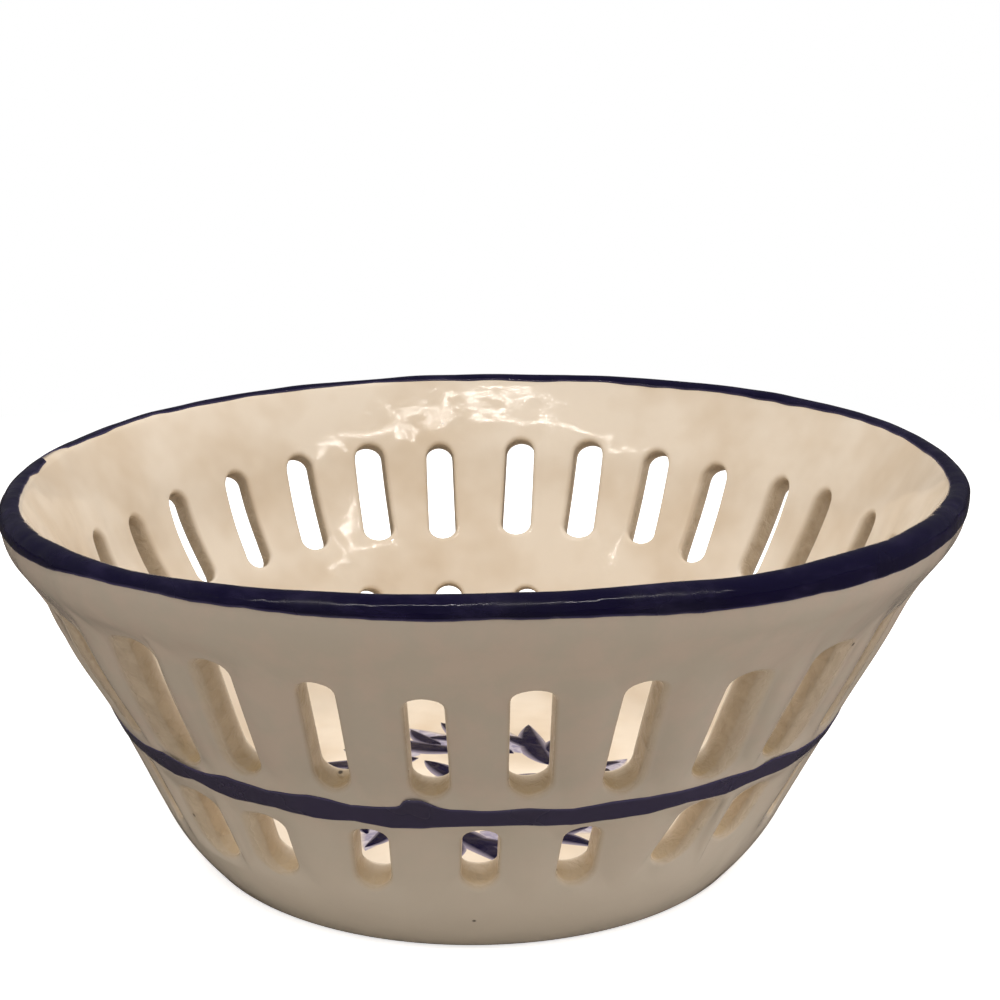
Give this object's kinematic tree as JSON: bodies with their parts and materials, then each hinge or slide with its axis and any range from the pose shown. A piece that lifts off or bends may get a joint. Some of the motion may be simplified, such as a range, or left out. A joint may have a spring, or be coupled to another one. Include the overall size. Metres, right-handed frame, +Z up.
{
  "type": "berry colander bowl",
  "caption": "Round flared berry colander bowl with a slotted wall, a dark banded rim, a dark waist line and a painted floor.",
  "frame": {"origin": "centre of the resting face of the foot ring, on the bowl's axis", "axes": "+Z up along the bowl's axis; -Y is the side that the picture shows in front, +X its right"},
  "size_m": [0.23, 0.23, 0.094],
  "materials": {
    "cream_glaze": "glossy clear glaze over cream clay",
    "bare_clay": "unglazed, wiped clean, matt",
    "blue_glaze": "brushed dark blue underglaze under clear glaze",
    "lilac_wash": "thin grey-lilac underglaze wash under clear glaze"
  },
  "bodies": {
    "root": {"pierced_wall": "cream_glaze", "base_dish": "cream_glaze", "foot_ring": "bare_clay", "rim_band": "blue_glaze", "waist_line": "blue_glaze", "floor_leaves": "blue_glaze", "floor_washes": "lilac_wash", "floor_rosette": "blue_glaze"}
  },
  "joints": []
}
